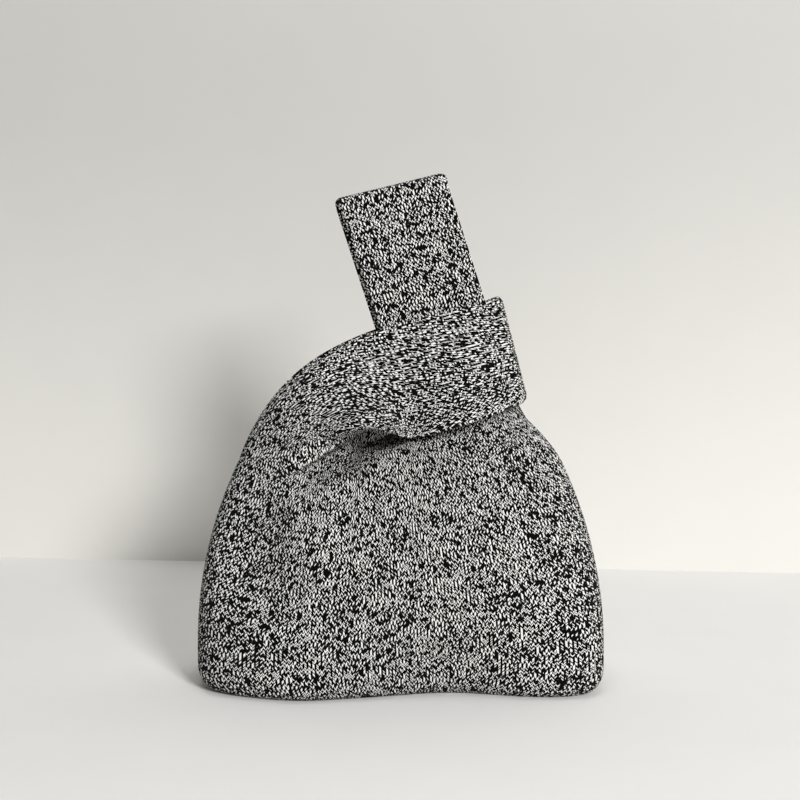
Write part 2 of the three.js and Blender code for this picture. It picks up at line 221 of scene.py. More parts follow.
# The slump of the standing pouch
RIDGE_HEIGHT = 0.0045
RIDGE_WIDTH = 0.015
RIDGE_X = (-0.041, -0.050)  # before and after its climb
RIDGE_Z = 0.062
RIDGE_CLIMB = 0.043
SIDE_HOLLOW = (0.009, -0.076, 0.018)  # depth, place and width
FOOT_DENT = (0.010, 0.026, 0.032)
FOOT_SWELL = (0.006, -0.052, 0.026)
FOOT_FADE = 0.05  # height at which these two end
WAVE_HEIGHT = 0.0008

# The left arm and the loop. Pairs are for the arm's upper and lower edges
SHOULDER_LEAN = math.radians(19)  # of the upper edge at the rim
FOLD_FORWARD = 0.3  # lean of the lower edge as it leaves the crease
START_PULL = (0.125, 0.040)
END_PULL = (0.110, 0.036)
ARM_BULGE = (0.007, 0.011)
ARM_LIP = 0.008  # how far the lower edge stands off
ARM_HUMP = 0.0032  # how far the lower edge rises
ARM_LENGTH = 0.080
EDGE_POWER = 8  # keeps a change close to one edge
LOOP_STEP = 1.2  # thicknesses from the handle's layer to the loop's
LOOP_ROOM = 0.0006  # from the loop to other knit
LOOP_SINK = 0.0016  # of the loop's right end
LOOP_CORNER = 0.0025
CORNER_DIP = 0.0014  # of the loop's upper right corner
FOLD_LENGTH = 0.010  # of knit, to the middle of the fold
BLEND_START = 0.056  # from the knot's middle to where the arm begins to give
BLEND_ROOM = 0.002  # from where that ends to where the loop begins

# The right arm and the handle
JOIN_UNDER_LOOP = 0.006
CROWN_END = 0.020  # above the middle of the knot
GATHER_ROOM = 0.001  # of straight left edge below the join
GATHER_LEAN = 0.30  # of the left edge, behind the left arm
GATHER_PULL = 0.034
GATHER_LENGTH = 0.055
HANDLE_TRIM = 0.0015  # off the left edge
HANDLE_CORNERS = (0.001, 0.0028)  # left and right

# The seams
SEAM_ROOM = 0.0011  # from the knit's inside to a seam's middle
BASE_SEAM = (0.995, 0.99, 0.0)  # shares of the panels' lower edge
SIDE_SEAM_ROWS = slice(24, -4, 4)  # clear of the base and the shoulder
LOOP_SEAM_ENDS = (0.004, 0.006)  # short of the lower and upper edges
HANDLE_SEAM_ENDS = (0.003, 0.005)  # short of the left and right edges
SEAM_POINTS = 9


def ease(t):
    """A smooth step from 0 to 1."""
    t = np.clip(t, 0.0, 1.0)
    return t * t * (3.0 - 2.0 * t)


def step_up(t, start, reach):
    """A smooth step from 0 at a start to 1."""
    return ease((t - start) / reach)


def step_down(t, end, reach):
    """A smooth step from 1 to 0 at an end."""
    return ease((end - t) / reach)


def bell(t, height, middle, width):
    """A bell curve."""
    return height * np.exp(-(((t - middle) / width) ** 2))


def mix(a, b, t):
    """The point a share t of the way from a to b."""
    return a + (b - a) * t


def unit(vectors):
    """Vectors scaled to a length of one."""
    return vectors / np.maximum(np.linalg.norm(vectors, axis=-1, keepdims=True), 1e-12)


def run_along(line):
    """How far along a line each of its points is."""
    return np.concatenate([[0.0], np.cumsum(np.linalg.norm(np.diff(line, axis=0), axis=1))])


def read_line(line, run, places):
    """The points at some places along a line."""
    return np.stack([np.interp(places, run, line[:, k]) for k in range(3)], axis=1)


def even_columns(points, columns, crowd=0.0):
    """Spaces the points of each row evenly, or a share closer in the middle than on average."""
    rows = []
    t = np.linspace(0.0, 1.0, columns + 1)
    t = t + crowd * np.sin(2 * math.pi * t) / (2 * math.pi)
    for row in points:
        run = run_along(row)
        rows.append(read_line(row, run, run[-1] * t))
    return np.array(rows)


def even_courses(points, courses, pitch):
    """Spaces each column's points along it: at the pitch near both ends, easing between them."""
    columns = []
    t = np.linspace(0.0, 1.0, COURSE_ROWS * courses + 1)
    for line in np.swapaxes(points, 0, 1):
        run = run_along(line)
        spare = run[-1] / courses - pitch
        columns.append(read_line(line, run, courses * (pitch * t + spare * ease(t))))
    return np.swapaxes(np.array(columns), 0, 1)


def wall_size(bag, knit, z):
    """Half width and half depth of the pouch's middle surface at a height."""
    climb = np.maximum(0.0, (z - bag.belly_height) / (bag.shoulder_height - bag.belly_height))
    width = mix(bag.body_width, bag.shoulder_width, climb**WIDTH_POWER)
    drawn_in = bag.rim_draw * ease((z - bag.shoulder_height) / bag.mouth_rise)
    depth = mix(bag.body_depth, bag.shoulder_depth, climb**DEPTH_POWER) - 2 * drawn_in
    return (width - knit.thickness) / 2, (depth - knit.thickness) / 2


def foot_arc(bag, knit):
    """Length of the knit round the foot."""
    rise = bag.foot_height - knit.thickness / 2
    return math.pi / 2 * math.sqrt((rise**2 + bag.base_inset**2) / 2)


def panel_courses(bag, knit):
    """Courses of stitches from the base seam to the rim."""
    wall = bag.shoulder_height + bag.mouth_rise - bag.foot_height
    return round((foot_arc(bag, knit) + wall) / knit.course_pitch)


def panel_grid(bag, knit):
    """The front panel's middle surface: rows up from the base seam, columns from left to right."""
    courses = panel_courses(bag, knit)
    foot_share = foot_arc(bag, knit) / (courses * knit.course_pitch)
    t = np.linspace(0.0, 1.0, RIM_POINTS)
    v = np.linspace(0.0, 1.0, FINE_ROWS * courses + 1)[:, None]
    half = knit.thickness / 2
    turn = np.clip(v / foot_share, 0.0, 1.0) * math.pi / 2
    climb = np.clip((v - foot_share) / (1.0 - foot_share), 0.0, 1.0)
    rim = bag.shoulder_height + bag.mouth_rise * np.sin(math.pi * t) ** 2
    foot_z = half + (bag.foot_height - half) * (1.0 - np.cos(turn))
    z = np.where(v < foot_share, foot_z, mix(bag.foot_height, rim, climb))
    a, b = wall_size(bag, knit, z)
    c = -np.cos(math.pi * t)
    s = np.sin(math.pi * t)
    share = np.sign(c) * np.abs(c) ** (2.0 / SECTION_POWER)
    inset = bag.base_inset * (1.0 - SQUARE_FOOT_SHARE * ease(share)) * (1.0 - np.sin(turn))
    foot_power = mix(FOOT_POWER, SQUARE_FOOT_POWER, ease(share))
    power = mix(foot_power, SECTION_POWER, ease(z / bag.shoulder_height))
    x = (a - inset) * share
    y = -(b - inset) * np.maximum(0.0, 1.0 - np.abs(share) ** power) ** (1.0 / power)
    folded = y + s * (tuck(bag, x, z) + slump(x, z))
    y = np.minimum(folded, np.maximum(y, -half - MIDDLE_ROOM))
    surface = np.stack(np.broadcast_arrays(x, y, z), axis=-1)
    surface = np.swapaxes(even_columns(np.swapaxes(surface, 0, 1), COURSE_ROWS * courses), 0, 1)
    return even_columns(surface, WALE_POINTS * knit.wales, WALE_CROWD)


def tuck(bag, x, z):
    """The fold at the neckline: the left shoulder bulges out and the knit below the crease falls in."""
    dx = x - bag.neck_x + bag.neck_gap / 2
    dz = z - bag.shoulder_height - bag.mouth_rise
    leftwards = -dx * math.cos(bag.crease_slope) - dz * math.sin(bag.crease_slope)
    below = dx * math.sin(bag.crease_slope) - dz * math.cos(bag.crease_slope)
    run = np.where(leftwards > 0.0, leftwards / bag.crease_length, -leftwards / HOLLOW_LENGTH)
    lip = np.exp(-((below / HOLLOW_REACH) ** HOLLOW_POWER))
    hollow = bag.neck_hollow * ease(below / bag.crease_width) * lip
    reach = step_up(leftwards, -0.010, 0.020) * step_down(leftwards, 0.048, 0.018)
    crease = CREASE_DEPTH * reach * ease(below / CREASE_STEP) * bell(below, 1.0, 0.0, CREASE_REACH)
    bulge = bag.shoulder_bulge * ease(-below / bag.crease_width) * bell(below, 1.0, 0.0, BULGE_REACH)
    return (1.0 - ease(run)) * (hollow - bulge) + crease


def slump(x, z):
    """The standing pouch's unevenness: a ridge and a hollow on the left, an uneven foot and slow waves."""
    crest = mix(*RIDGE_X, (z - RIDGE_Z) / RIDGE_CLIMB)
    ridge = bell(x, RIDGE_HEIGHT, crest, RIDGE_WIDTH) * step_up(z, 0.035, 0.05)
    hollow = bell(x, *SIDE_HOLLOW) * step_up(z, 0.03, 0.03) * step_down(z, 0.115, 0.03)
    foot = (bell(x, *FOOT_DENT) - bell(x, *FOOT_SWELL)) * ease(1.0 - z / FOOT_FADE)
    waves = np.sin(x / 0.0131 + z / 0.035) * np.sin(z / 0.0152 - x / 0.043 + 2.2)
    return WAVE_HEIGHT * waves * step_up(z, 0.012, 0.02) + hollow - ridge + foot


def strap_point(bag, s, y, r):
    """A point from its place across the handle, its depth and its place along the handle."""
    lean = bag.strap_lean
    x = bag.knot_x + s * math.cos(lean) - r * math.sin(lean)
    z = bag.shoulder_height + bag.knot_rise + s * math.sin(lean) + r * math.cos(lean)
    return np.stack(np.broadcast_arrays(x, y, z), axis=-1)


def strap_spot(bag, s, r):
    """A point in the handle's middle, as plain numbers."""
    return tuple(float(k) for k in strap_point(bag, s, 0.0, r))


def strap_place(bag, points):
    """Places across and along the handle of points given in the bag's frame."""
    lean = bag.strap_lean
    x = points[..., 0] - bag.knot_x
    z = points[..., 2] - bag.shoulder_height - bag.knot_rise
    return x * math.cos(lean) + z * math.sin(lean), z * math.cos(lean) - x * math.sin(lean)


def handle_layer(bag, knit, s, r):
    """Depth of a handle layer's middle, which bulges below the knot."""
    half = bag.strap_width / 2
    crown = bag.gather_crown * (1.0 - ease((r + half) / (half + CROWN_END)))
    return (bag.handle_gap + knit.thickness) / 2 + crown * np.maximum(0.0, 1.0 - (s / half) ** 2)


def loop_layer(bag, knit, s, r):
    """Depth of a loop layer's middle, whose lower edge stands off the handle."""
    low = (bag.strap_width / 2 - r) / bag.strap_width
    step = LOOP_STEP * knit.thickness + LOOP_ROOM
    sink = LOOP_SINK * step_up(s, 0.017, 0.008)
    return handle_layer(bag, knit, s, r) + step + bag.loop_flare * low**2 - sink


def sweep(start, start_pull, end, end_pull, v):
    """A cubic from a start and heading to an end and heading."""
    v = v[:, None, None]
    return (
        (2 * v**3 - 3 * v**2 + 1) * start
        + (v**3 - 2 * v**2 + v) * start_pull
        + (3 * v**2 - 2 * v**3) * end
        + (v**3 - v**2) * end_pull
    )


def neck_wale(bag, panel):
    """The wale on the rim where the left arm ends and the right arm begins."""
    x = panel[-1, ::WALE_POINTS, 0]
    return int(np.argmin(np.abs(x - bag.neck_x + bag.neck_gap / 2)))


def left_arm(bag, knit, panel, u, r):
    """The left arm's front layer, from the rim to where the loop begins, and its courses."""
    start = panel[-1, : len(u)]
    s = -bag.loop_left
    end = strap_point(bag, s, -loop_layer(bag, knit, s, r), r)
    near = s + 0.001
    ahead = strap_point(bag, near, -loop_layer(bag, knit, near, r), r)
    v = np.linspace(0.0, 1.0, LONG_POINTS)
    shoulder_way = np.array([math.sin(SHOULDER_LEAN), 0.0, math.cos(SHOULDER_LEAN)])
    fold_way = np.array([math.cos(bag.crease_slope), -FOLD_FORWARD, math.sin(bag.crease_slope)])
    heading = unit(panel[-1] - panel[-1 - COURSE_ROWS])[: len(u)]
    heading = mix(heading, shoulder_way, (1.0 - u[:, None]) ** 2)
    heading = unit(mix(heading, fold_way, ease(u)[:, None]))
    start_pull = heading * mix(*START_PULL, u)[:, None]
    end_pull = unit(ahead - end) * mix(*END_PULL, u)[:, None]
    arm = sweep(start, start_pull, end, end_pull, v)
    arm[..., 1] -= mix(*ARM_BULGE, u) * np.sin(math.pi * v)[:, None] ** 2
    lip = ease(v / 0.15) * step_down(v, 0.95, 0.5)
    arm[..., 1] -= ARM_LIP * lip[:, None] * u**3
    hump = ease(v / 0.25) * step_down(v, 0.75, 0.5)
    arm[..., 2] += ARM_HUMP * hump[:, None] * u**EDGE_POWER
    courses = round(ARM_LENGTH / knit.course_pitch)
    return even_courses(arm, courses, knit.course_pitch), courses


def loop_grid(bag, knit):
    """The left arm and the loop's front layer as one band, down from its upper edge, and its gauge."""
    panel = panel_grid(bag, knit)
    wales = neck_wale(bag, panel)
    half = bag.strap_width / 2
    u = np.linspace(0.0, 1.0, WALE_POINTS * wales + 1)
    r = mix(half, -half, u)
    arm, arm_courses = left_arm(bag, knit, panel, u, r)
    edge = half - corner_cut(half - np.abs(r), LOOP_CORNER)
    s = mix(-bag.loop_left, edge, np.linspace(0.0, 1.0, MIDDLE_POINTS)[:, None])
    narrow = bag.loop_taper * (1.0 - u) * ease((s + bag.loop_left) / (bag.loop_left + half))
    narrow = narrow + CORNER_DIP * (1.0 - u) ** EDGE_POWER * ease((s - half + 0.008) / 0.006)
    over = strap_point(bag, s, -loop_layer(bag, knit, s, r), r - narrow)
    turn = np.linspace(0.0, math.pi / 2, SHORT_POINTS)[1:, None]
    depth = loop_layer(bag, knit, edge, r)
    reach = bag.loop_fold + bag.loop_skew * r / half
    fold = strap_point(bag, edge + reach * np.sin(turn), -depth * np.cos(turn), r - narrow[-1:])
    loop_courses = round((half + bag.loop_left + FOLD_LENGTH) / knit.course_pitch)
    loop = even_courses(np.concatenate([over, fold]), loop_courses, knit.course_pitch)
    return np.concatenate([arm, loop[1:]]), wales, arm_courses + loop_courses


def corner_cut(distance, radius):
    """How far a rounded corner falls short of a square one, at a distance from its side."""
    short = np.clip(radius - distance, 0.0, radius)
    return radius - np.sqrt(radius**2 - short**2)


def gather_grid(bag, knit):
    """The right arm's front layer, from the rim to where the loop hides its end, and its gauge."""
    panel = panel_grid(bag, knit)
    first = neck_wale(bag, panel)
    start = panel[-1, WALE_POINTS * first :]
    heading = unit(panel[-1] - panel[-1 - COURSE_ROWS])[WALE_POINTS * first :]
    half = bag.strap_width / 2
    u = np.linspace(0.0, 1.0, len(start))
    s = mix(-half, half, u)
    gathered = mix(JOIN_UNDER_LOOP - GATHER_ROOM, -half - LOOP_ROOM, u)
    end = strap_point(bag, s, -handle_layer(bag, knit, s, gathered), gathered)
    along = strap_point(bag, s, 0.0, gathered + 1.0) - strap_point(bag, s, 0.0, gathered)
    v = np.linspace(0.0, 1.0, MIDDLE_POINTS)
    behind = GATHER_LEAN * (1.0 - u[:, None]) ** EDGE_POWER
    heading = unit(mix(heading, np.array([-1.0, 0.0, 0.0]), behind))
    arm = sweep(start, heading * GATHER_PULL, end, along * GATHER_PULL, v)
    depth = -handle_layer(bag, knit, *strap_place(bag, arm))
    arm[..., 1] = mix(arm[..., 1], depth, ease(v)[:, None])
    r = mix(gathered, JOIN_UNDER_LOOP, np.linspace(0.0, 1.0, SHORT_POINTS)[1:, None])
    straight = strap_point(bag, s, -handle_layer(bag, knit, s, r), r)
    courses = round(GATHER_LENGTH / knit.course_pitch)
    grid = even_courses(np.concatenate([arm, straight]), courses, knit.course_pitch)
    return grid, knit.wales - first, courses


def handle_grid(bag, knit, slip):
    """The long handle's front layer, from under the loop to the middle of its top fold, and its gauge."""
    half = bag.strap_width / 2
    wales = round(bag.strap_width / knit.wale_pitch)
    left = HANDLE_TRIM - half
    s = np.linspace(left, half, WALE_POINTS * wales + 1)
    depth = (bag.handle_gap + knit.thickness) / 2
    top = bag.handle_reach - bag.handle_skew * s / bag.strap_width - knit.thickness / 2 - depth
    top = top - corner_cut(half - s, HANDLE_CORNERS[1]) - corner_cut(s - left, HANDLE_CORNERS[0])
    r = mix(JOIN_UNDER_LOOP, top, np.linspace(0.0, 1.0, LONG_POINTS)[:, None])
    rise = strap_point(bag, s - slip, -handle_layer(bag, knit, s, r), r)
    turn = np.linspace(0.0, math.pi / 2, SHORT_POINTS)[1:, None]
    fold = strap_point(bag, s - slip * np.cos(turn), -depth * np.cos(turn), top + depth * np.sin(turn))
    courses = round((bag.handle_reach - JOIN_UNDER_LOOP) / knit.course_pitch)
    return even_courses(np.concatenate([rise, fold]), courses, knit.course_pitch), wales, courses


def base_grid(bag, knit):
    """The base's middle surface inside the panels' lower edges, seen from below, and its gauge."""
    edge = panel_grid(bag, knit)[0]
    left = BASE_LENGTH * edge[:, 0].min()
    right = BASE_LENGTH * edge[:, 0].max()
    wales = round((right - left) / knit.wale_pitch)
    courses = round(-2 * edge[:, 1].min() / knit.course_pitch)
    x = np.linspace(left, right, WALE_POINTS * wales + 1)
    front = BASE_WIDTH * np.interp(x, edge[:, 0], edge[:, 1])
    y = mix(-front, front, np.linspace(0.0, 1.0, COURSE_ROWS * courses + 1)[:, None])
    grid = np.stack(np.broadcast_arrays(x, y, knit.thickness / 2 + knit.relief), axis=-1)
    return grid, wales, courses


def sample(grid, rows, columns):
    """Reads a grid between its points, at rows and columns counted from 0."""
    j = np.clip(np.floor(rows).astype(int), 0, grid.shape[0] - 2)
    i = np.clip(np.floor(columns).astype(int), 0, grid.shape[1] - 2)
    fj = (rows - j)[..., None]
    fi = (columns - i)[..., None]
    low = mix(grid[j, i], grid[j, i + 1], fi)
    high = mix(grid[j + 1, i], grid[j + 1, i + 1], fi)
    return mix(low, high, fj)


def edge_round(distance, radius):
    """Share of its half thickness that the knit has at a distance from a rounded edge."""
    inside = np.clip(distance / radius, 0.0, 1.0)
    return np.sqrt(1.0 - (1.0 - inside) ** 2) * (1.0 - EDGE_SHARE) + EDGE_SHARE


def stitch_rows(wales, courses, rounded):
    """The course at each point of the face: stitches are rows of V shapes, which flatten out to a hem."""
    rows = np.arange(COURSE_ROWS * courses + 1)[:, None]
    columns = np.arange(WALE_POINTS * wales + 1)
    from_heart = np.abs(columns % WALE_POINTS / WALE_POINTS - 0.5)
    flatten = 1.0
    if "b" in rounded:
        flatten = flatten * ease(rows / HEM_ROWS)
    if "t" in rounded:
        flatten = flatten * ease((rows[-1] - rows) / HEM_ROWS)
    return rows / COURSE_ROWS + LEG_CLIMB * (from_heart - 0.25) * flatten


def knit_piece(name, grid, wales, courses, knit, rounded="lr", last_wales=None, mirrored=False):
    """A closed sheet of stockinette about a middle surface: its face has a V of two legs for every
    stitch, and its back is smooth. Where the last course has fewer wales, they end one by one along
    the right edge. The back of the bag takes the mirror image."""
    course = stitch_rows(wales, courses, rounded)
    rows = np.arange(COURSE_ROWS * courses + 1)
    columns = np.arange(WALE_POINTS * wales + 1)
    span = mix(wales, last_wales or wales, ease(rows / (NARROWING * COURSE_ROWS * courses)))
    wale = np.minimum(columns / WALE_POINTS, span[:, None])
    leg_row = np.array([-0.4, 1.0, 0.4, 1.0])
    gap_row = np.array([-1.0, -0.6, -0.8, -0.6])
    relief = knit.relief * np.array([gap_row, leg_row])[np.ix_(rows % COURSE_ROWS, columns % WALE_POINTS)]

    grid_rows = (len(grid) - 1) / courses
    grid_columns = grid.shape[1] - 1
    normals = unit(np.cross(np.gradient(grid, axis=1), np.gradient(grid, axis=0)))
    across = np.linalg.norm(np.diff(grid, axis=1), axis=2).sum(axis=1).mean()
    along = np.linalg.norm(np.diff(grid, axis=0), axis=2).sum(axis=0).mean() / courses
    half = knit.thickness / 2
    climbed = np.cumsum(np.linalg.norm(np.diff(grid, axis=0, prepend=grid[:1]), axis=2), axis=0)[..., None]

    def lay(at_course, u, height):
        """Points at a height over the middle surface, which thins out to a rounded edge."""
        inward = {"l": u * across, "r": (1.0 - u) * across, "b": at_course * along}
        inward["t"] = (courses - at_course) * along
        share = 1.0
        for edge in rounded:
            share = share * edge_round(inward[edge], half)
        middle = sample(grid, at_course * grid_rows, u * grid_columns)
        normal = unit(sample(normals, at_course * grid_rows, u * grid_columns))
        return middle + normal * (height * share)[..., None]

    face_u = wale / span[:, None]
    face = lay(course, face_u, half + relief)
    back_rows = np.unique(np.append(rows[::BACK_ROWS], rows[-1]))
    back_line = np.linspace(0.0, 1.0, wales // BACK_WALES + 1)
    back_u, back_course = np.meshgrid(back_line, back_rows / COURSE_ROWS)
    back = lay(back_course, back_u, -half)

    vertices = np.concatenate([face.reshape(-1, 3), back.reshape(-1, 3)])
    vertices[:, 2] = np.maximum(vertices[:, 2], FLOOR_ROOM)
    ends = np.ceil(WALE_POINTS * span - 1e-9).astype(int)
    face_id = rows[:, None] * len(columns) + np.minimum(columns, ends[:, None])
    back_id = wale.size + np.arange(back_u.size).reshape(back_u.shape)
    quads = np.stack([face_id[:-1, :-1], face_id[:-1, 1:], face_id[1:, 1:], face_id[1:, :-1]], axis=-1)
    flats = np.stack([back_id[:-1, :-1], back_id[1:, :-1], back_id[1:, 1:], back_id[:-1, 1:]], axis=-1)
    rims = rim_faces(face_id, back_id, back_rows, ends)

    face_uv = np.stack(np.broadcast_arrays(wale, rows[:, None] / COURSE_ROWS), axis=-1)
    back_uv = np.stack([back_u * wales, back_course], axis=-1)
    face_length = sample(climbed, face_uv[..., 1] * grid_rows, face_u * grid_columns)
    back_length = sample(climbed, back_course * grid_rows, back_u * grid_columns)
    face_sheet = face_uv / [wales, courses] * FACE_MAP + MAP_MARGIN
    back_sheet = back_uv / [wales, courses] * BACK_MAP + BACK_MAP_PLACE
    sheet_uv = np.concatenate([face_sheet.reshape(-1, 2), back_sheet.reshape(-1, 2)])
    face_uv[..., 1:] = face_length / knit.course_pitch
    back_uv[..., 1:] = back_length / knit.course_pitch
    knit_uv = np.concatenate([face_uv.reshape(-1, 2), back_uv.reshape(-1, 2)])
    if mirrored:
        vertices[:, 1] *= -1.0
        knit_uv = knit_uv + BACK_SHIFT
    faces = np.concatenate([quads, flats], axis=None).reshape(-1, 4).tolist()
    return mesh_object(name, vertices, faces, rims, knit_uv, sheet_uv, mirrored)


def rim_faces(face_id, back_id, back_rows, ends):
    """Faces that close a sheet round its four edges, each with the face's corners first."""
    rims = []
    count = back_id.shape[1] - 1
    for row, order in ((0, -1), (-1, 1)):
        marks = np.round(np.linspace(0, ends[row], count + 1)).astype(int)
        for k in range(count):
            front = list(face_id[row, marks[k] : marks[k + 1] + 1][::order])
            rims.append((front, [back_id[row, k + 1], back_id[row, k]][::order]))
    for k in range(len(back_rows) - 1):
        span = slice(back_rows[k], back_rows[k + 1] + 1)
        rims.append((list(face_id[span, 0]), [back_id[k + 1, 0], back_id[k, 0]]))
        rims.append((list(face_id[span, -1][::-1]), [back_id[k, -1], back_id[k + 1, -1]]))
    return rims


def mesh_object(name, vertices, faces, rims, knit_uv, sheet_uv, mirrored):
    """A piece from a sheet's points and faces, with a map in stitches and one of the whole sheet."""
    pairs = [(face, face) for face in faces]
    pairs += [(front + rear, front + [front[-1], front[0]]) for front, rear in rims]
    corner = []
    mapped = []
    starts = []
    for face, places in pairs:
        kept = [k for k in range(len(face)) if face[k] != face[k - 1]]
        if len(kept) < 3:
            continue
        starts.append(len(corner))
        order = kept[::-1] if mirrored else kept
        corner += [face[k] for k in order]
        mapped += [places[k] for k in order]
    used, corner = np.unique(np.array(corner), return_inverse=True)
    mesh = bpy.data.meshes.new(name)
    mesh.vertices.add(len(used))
    mesh.vertices.foreach_set("co", vertices[used].ravel())
    mesh.loops.add(len(corner))
    mesh.loops.foreach_set("vertex_index", corner.astype(np.int32))
    mesh.polygons.add(len(starts))
    mesh.polygons.foreach_set("loop_start", np.array(starts, dtype=np.int32))
    for label, coords in (("Stitches", knit_uv), ("OFBake", sheet_uv)):
        layer = mesh.uv_layers.new(name=label)
        layer.uv.foreach_set("vector", coords[np.array(mapped)].ravel())
    mesh.update(calc_edges=True)
    return add_piece(name, mesh)


def add_piece(name, mesh):
    """Puts a mesh into the scene, smooth-shaded."""
    mesh.shade_smooth()
    piece = bpy.data.objects.new(name, mesh)
    bpy.context.collection.objects.link(piece)
    return piece


# The marl, in stitches. Weights make up the sum that decides which ply lies on top
PLY_STEPS = 2.4  # turns of the plies up one stitch
SWING_ALONG = 0.09
SWING_UP = 0.83
MATCH_WEIGHT = 0.9
FRAY_SCALE = (5.0, 3.0, 1.0)
FRAY_WEIGHT = 0.12
DRIFT_SCALE = (0.07, 0.28, 1.0)
DRIFT_WEIGHT = 0.3
PALE = (1.53, 1.57)  # sums between which pale comes out on top
GAP_SHADE_REACH = (0.56, 0.42)  # of a leg, from its middle to the painted shade in the gap round it
RIB_SLANT = 2.5  # ribs across one leg


def marl_knit_material(knit):
    """Stockinette in two-strand acrylic marl: a matt, hairy yarn whose black and off-white strands
    take turns on top, so each leg of a stitch is dark, pale or split, in short runs along a course."""
    material = bpy.data.materials.get("acrylic_marl_stockinette")
    if material:
        return material
    material = bpy.data.materials.new("acrylic_marl_stockinette")
    tree = empty_tree(material)
    dark = (*knit.dark_yarn, 1.0)
    pale = (*knit.pale_yarn, 1.0)
    stitches = add_node(tree, "ShaderNodeUVMap", uv_map="Stitches").outputs["UV"]
    split = add_node(tree, "ShaderNodeSeparateXYZ", {"Vector": stitches}).outputs
    rise = add_node(tree, "ShaderNodeMath", {0: split["Y"]}, operation="FRACT").outputs[0]
    legs = add_node(tree, "ShaderNodeMath", {0: split["X"], 1: 2.0}, operation="MULTIPLY").outputs[0]
    leg = add_node(tree, "ShaderNodeMath", {0: legs}, operation="FLOOR").outputs[0]
    within = add_node(tree, "ShaderNodeMath", {0: legs}, operation="FRACT").outputs[0]

    # The plies change places every 0.6 mm up a leg, and mostly lie the other way round on the next.
    turns = {0: split["Y"], 1: PLY_STEPS}
    climbed = add_node(tree, "ShaderNodeMath", turns, operation="MULTIPLY").outputs[0]
    step = add_node(tree, "ShaderNodeMath", {0: climbed}, operation="FLOOR").outputs[0]
    passed = add_node(tree, "ShaderNodeMath", {0: leg, 1: step}, operation="ADD").outputs[0]
    side = add_node(tree, "ShaderNodeMath", {0: passed, 1: 2.0}, operation="FLOORED_MODULO").outputs[0]
    along = add_node(tree, "ShaderNodeMath", {0: legs, 1: SWING_ALONG}, operation="MULTIPLY").outputs[0]
    apart = add_node(tree, "ShaderNodeMath", {0: step, 1: SWING_UP}, operation="MULTIPLY").outputs[0]
    place = add_node(tree, "ShaderNodeCombineXYZ", {"X": along, "Y": apart}).outputs[0]
    patches = {"Vector": place, "Scale": 1.0, "Detail": 1.0}
    swing = add_node(tree, "ShaderNodeTexNoise", patches, noise_dimensions="2D").outputs[0]
    swung = add_node(tree, "ShaderNodeMath", {0: swing, 1: 0.5}, operation="GREATER_THAN").outputs[0]
    matched = add_node(tree, "ShaderNodeMath", {0: side, 1: swung, 2: 0.1}, operation="COMPARE").outputs[0]
    stitch = add_node(tree, "ShaderNodeCombineXYZ", {"X": leg, "Y": step}).outputs[0]
    chance = add_node(tree, "ShaderNodeTexWhiteNoise", {"Vector": stitch}, noise_dimensions="2D").outputs[0]
    shares = {0: matched, 1: MATCH_WEIGHT, 2: chance}
    blend = add_node(tree, "ShaderNodeMath", shares, operation="MULTIPLY_ADD").outputs[0]
    # Fibres fray a ply's edge every third of a millimetre, and dark and pale stretches run for 25 mm.
    for scale, weight in ((FRAY_SCALE, FRAY_WEIGHT), (DRIFT_SCALE, DRIFT_WEIGHT)):
        place = add_node(tree, "ShaderNodeVectorMath", {0: stitches, 1: scale}, operation="MULTIPLY")
        patches = {"Vector": place.outputs[0], "Scale": 1.0, "Detail": 1.0}
        patch = add_node(tree, "ShaderNodeTexNoise", patches, noise_dimensions="2D").outputs[0]
        shares = {0: patch, 1: weight, 2: blend}
        blend = add_node(tree, "ShaderNodeMath", shares, operation="MULTIPLY_ADD").outputs[0]
    limits = {"Value": blend, "From Min": PALE[0], "From Max": PALE[1]}
    on_top = add_node(tree, "ShaderNodeMapRange", limits).outputs[0]
    plies = {"Factor": on_top, "A": dark, "B": pale}
    yarn = add_node(tree, "ShaderNodeMix", plies, data_type="RGBA").outputs["Result"]
    # Each leg of yarn has painted shade in the dark gap all round it, where the black ply also shows.
    across = add_node(tree, "ShaderNodeMath", {0: within, 1: 0.5}, operation="SUBTRACT").outputs[0]
    aside = add_node(tree, "ShaderNodeMath", {0: across}, operation="ABSOLUTE").outputs[0]
    upward = add_node(tree, "ShaderNodeMath", {0: rise, 1: 0.5}, operation="SUBTRACT").outputs[0]
    above = add_node(tree, "ShaderNodeMath", {0: upward}, operation="ABSOLUTE").outputs[0]
    reach = add_node(tree, "ShaderNodeMath", {0: aside, 1: above}, operation="MAXIMUM").outputs[0]
    limits = {"Value": reach, "From Min": GAP_SHADE_REACH[0], "From Max": GAP_SHADE_REACH[1]}
    leg_clear_of_gap_shade = add_node(tree, "ShaderNodeMapRange", limits).outputs[0]
    # Painted shade: the gap round each leg takes the dark yarn's colour.
    gap = {"Factor": leg_clear_of_gap_shade, "A": dark, "B": yarn}
    colour = add_node(tree, "ShaderNodeMix", gap, data_type="RGBA").outputs["Result"]

    # The plies wind round each other, a fine slanting rib on every leg.
    slant = {0: within, 1: RIB_SLANT, 2: rise}
    wind = add_node(tree, "ShaderNodeMath", slant, operation="MULTIPLY_ADD").outputs[0]
    turn = add_node(tree, "ShaderNodeMath", {0: wind, 1: math.tau}, operation="MULTIPLY").outputs[0]
    rib = add_node(tree, "ShaderNodeMath", {0: turn}, operation="SINE").outputs[0]
    bump = add_node(tree, "ShaderNodeBump", {"Height": rib, "Strength": 0.25, "Distance": 0.0001})
    look = {
        "Base Color": colour,
        "Roughness": 0.92,
        "IOR": 1.45,
        "Specular IOR Level": 0.04,
        "Sheen Weight": 0.03,
        "Sheen Roughness": 0.6,
        "Normal": bump.outputs["Normal"],
    }
    shader = add_node(tree, "ShaderNodeBsdfPrincipled", look)
    add_node(tree, "ShaderNodeOutputMaterial", {"Surface": shader.outputs["BSDF"]})
    return material


